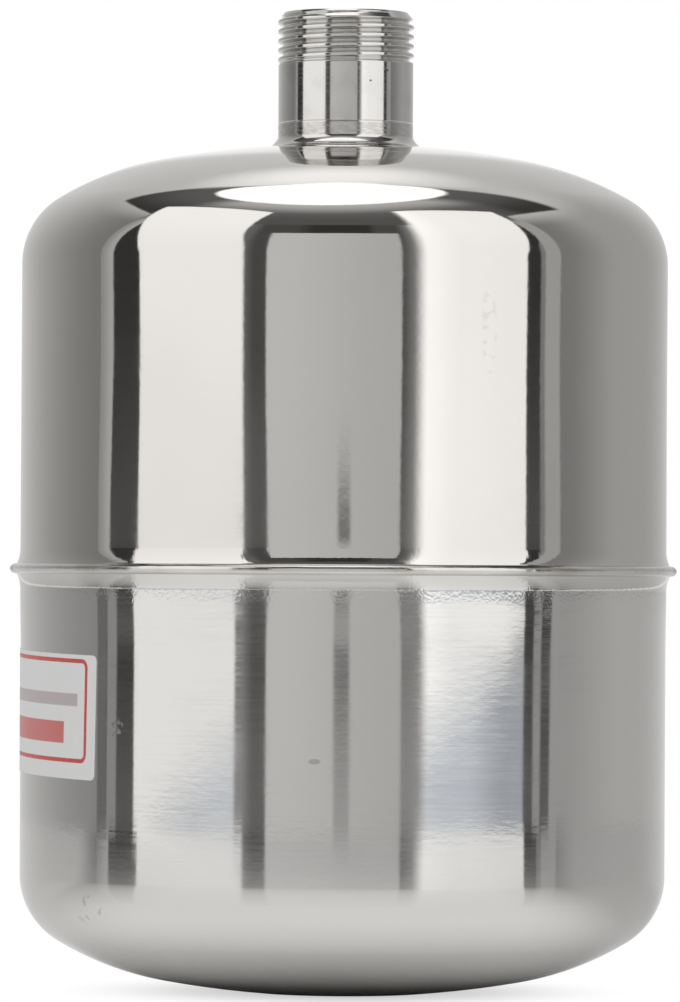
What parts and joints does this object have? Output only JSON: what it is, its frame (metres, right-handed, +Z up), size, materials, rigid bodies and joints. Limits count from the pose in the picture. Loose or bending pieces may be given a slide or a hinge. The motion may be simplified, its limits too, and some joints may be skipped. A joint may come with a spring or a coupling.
{
  "type": "pressure tank",
  "caption": "Small upright stainless steel pressure tank: two drawn cups joined by a weld bead, a threaded nipple on top, a rubber diaphragm inside and an air valve in a recess underneath.",
  "frame": {"origin": "on the tank's axis, at the lowest point of the rim that the tank stands on", "axes": "+Z up along the tank's axis towards the nipple, -Y towards the front, the label is on the -X side"},
  "size_m": [0.163, 0.163, 0.2394],
  "materials": {
    "polished_steel": "bright polished stainless steel",
    "brushed_steel": "stainless steel, buffed in fine rings round the axis",
    "turned_steel": "turned and polished stainless steel",
    "weld_bead": "bright weld metal",
    "hoop_steel": "rolled steel, satin",
    "spring_steel": "drawn wire",
    "brass": "turned brass",
    "black_rubber": "moulded rubber, matt",
    "red_rubber": "moulded rubber, matt",
    "black_plastic": "moulded plastic, fine grain",
    "label_film": "white film with a printed red frame"
  },
  "bodies": {
    "tank": {"upper_shell": "polished_steel", "lower_shell": "brushed_steel", "seam_weld": "weld_bead", "nipple": "turned_steel", "nipple_weld": "weld_bead", "diaphragm": "black_rubber", "clench_hoop": "hoop_steel", "valve_bush": "turned_steel", "bush_weld": "weld_bead", "valve_stem": "brass", "stem_seal": "black_rubber", "core_body": "brass", "core_seal": "red_rubber", "core_spring": "spring_steel", "label": "label_film"},
    "valve_pin": {"core_pin": "brass", "poppet_seal": "black_rubber"},
    "cap": {"valve_cap": "black_plastic", "cap_seal": "black_rubber"}
  },
  "joints": [
    {"name": "pin_press", "type": "slide", "parent": "tank", "child": "valve_pin", "axis": [0, 0, 1], "range_m": [0, 0.001], "stiffness_N_per_m": 500, "springref_m": -0.003, "deforming": ["core_spring"]},
    {"name": "cap_unscrew", "type": "slide", "parent": "tank", "child": "cap", "axis": [0, 0, -1], "range_m": [0, 0.01]}
  ]
}
